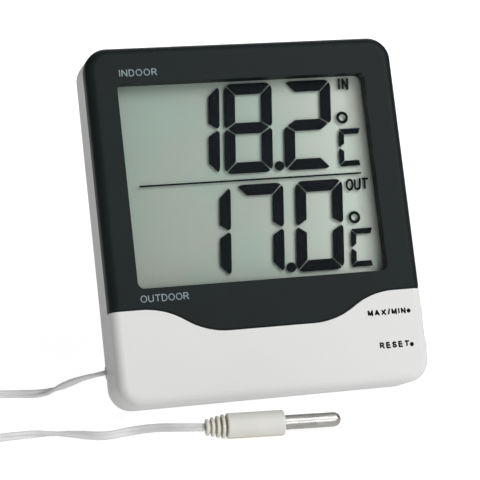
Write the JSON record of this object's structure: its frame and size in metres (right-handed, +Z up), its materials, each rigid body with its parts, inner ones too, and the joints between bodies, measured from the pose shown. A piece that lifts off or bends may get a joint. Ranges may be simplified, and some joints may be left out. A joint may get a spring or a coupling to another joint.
{
  "type": "maximum minimum thermometer",
  "caption": "Digital indoor and outdoor thermometer: leaning white case, dark bezel, large two-row display, side buttons, fold-out stand, and a steel probe on a thin cable.",
  "frame": {"origin": "on the ground, under the middle of the standing case and its stand", "axes": "+X to the viewer's right of the display, +Y from the display to the stand behind it, +Z up"},
  "size_m": [0.1947, 0.0805, 0.1035],
  "materials": {
    "bezel_dark": "satin dark blue-grey moulded plastic",
    "case_white": "fine-textured white moulded plastic",
    "button_white": "smooth white moulded plastic",
    "lens_clear": "clear acrylic window",
    "lcd_glass": "liquid crystal display glass with polariser",
    "lcd_reflector": "grey-green reflecting film",
    "holder_grey": "moulded plastic",
    "zebra_rubber": "layered conductive silicone rubber",
    "board_green": "green solder mask on glass-fibre board",
    "chip_resin": "black epoxy resin",
    "sensor_resin": "dark dipped resin bead",
    "bright_metal": "nickel-plated steel",
    "screw_steel": "zinc-plated steel",
    "switch_black": "black moulded plastic",
    "knob_black": "black moulded plastic",
    "battery_jacket": "printed battery jacket, plain two-colour band",
    "lead_red": "insulated stranded wire",
    "grommet_grey": "soft grey PVC",
    "cable_grey": "light grey flat twin PVC cable",
    "tie_white": "white plastic tie",
    "probe_ivory": "ivory moulded PVC",
    "probe_steel": "drawn stainless steel sleeve"
  },
  "bodies": {
    "case": {"display_bezel": "bezel_dark", "front_shell": "case_white", "rear_cover": "case_white", "display_lens": "lens_clear", "lcd_front_glass": "lcd_glass", "lcd_rear_glass": "lcd_glass", "lcd_reflector": "lcd_reflector", "lcd_holder": "holder_grey", "zebra_strip_upper": "zebra_rubber", "zebra_strip_lower": "zebra_rubber", "main_board": "board_green", "chip_blob": "chip_resin", "quartz_crystal": "bright_metal", "board_parts": "chip_resin", "room_sensor": "sensor_resin", "board_screws": "screw_steel", "case_screws": "screw_steel", "stand_pin": "screw_steel", "max_min_switch": "switch_black", "reset_switch": "switch_black", "unit_switch_body": "bright_metal", "battery_cell": "battery_jacket", "battery_contact_plus": "bright_metal", "battery_contact_minus": "bright_metal", "battery_spring": "bright_metal", "battery_leads": "lead_red", "cable_grommet": "grommet_grey", "cable_inner_end": "cable_grey", "case_cable": "cable_grey", "probe_cable": "cable_grey", "cable_coil": "cable_grey", "cable_tie": "tie_white", "probe_handle": "probe_ivory", "probe_tip": "probe_steel", "probe_thermistor": "sensor_resin"},
    "max_min_key": {"max_min_button": "button_white", "max_min_plunger": "switch_black"},
    "reset_key": {"reset_button": "button_white", "reset_plunger": "switch_black"},
    "unit_knob": {"unit_switch_knob": "knob_black"},
    "door": {"battery_door": "case_white"},
    "stand": {"table_stand": "case_white"}
  },
  "joints": [
    {"name": "max_min_press", "type": "slide", "parent": "case", "child": "max_min_key", "axis": [-1, 0, 0], "range_m": [0, 0.0006], "stiffness_N_per_m": 1500},
    {"name": "reset_press", "type": "slide", "parent": "case", "child": "reset_key", "axis": [-1, 0, 0], "range_m": [0, 0.0006], "stiffness_N_per_m": 1500},
    {"name": "unit_slide", "type": "slide", "parent": "case", "child": "unit_knob", "axis": [1, 0, 0], "range_m": [0, 0.002]},
    {"name": "door_hinge", "type": "hinge", "parent": "case", "child": "door", "pos_m": [-0.0005, -0.01049, 0.00644], "axis": [-1, 0, 0], "range_deg": [0, 75]},
    {"name": "stand_hinge", "type": "hinge", "parent": "case", "child": "stand", "pos_m": [-0.0005, -0.00044, 0.03042], "axis": [1, 0, 0], "range_deg": [0, 112]}
  ]
}
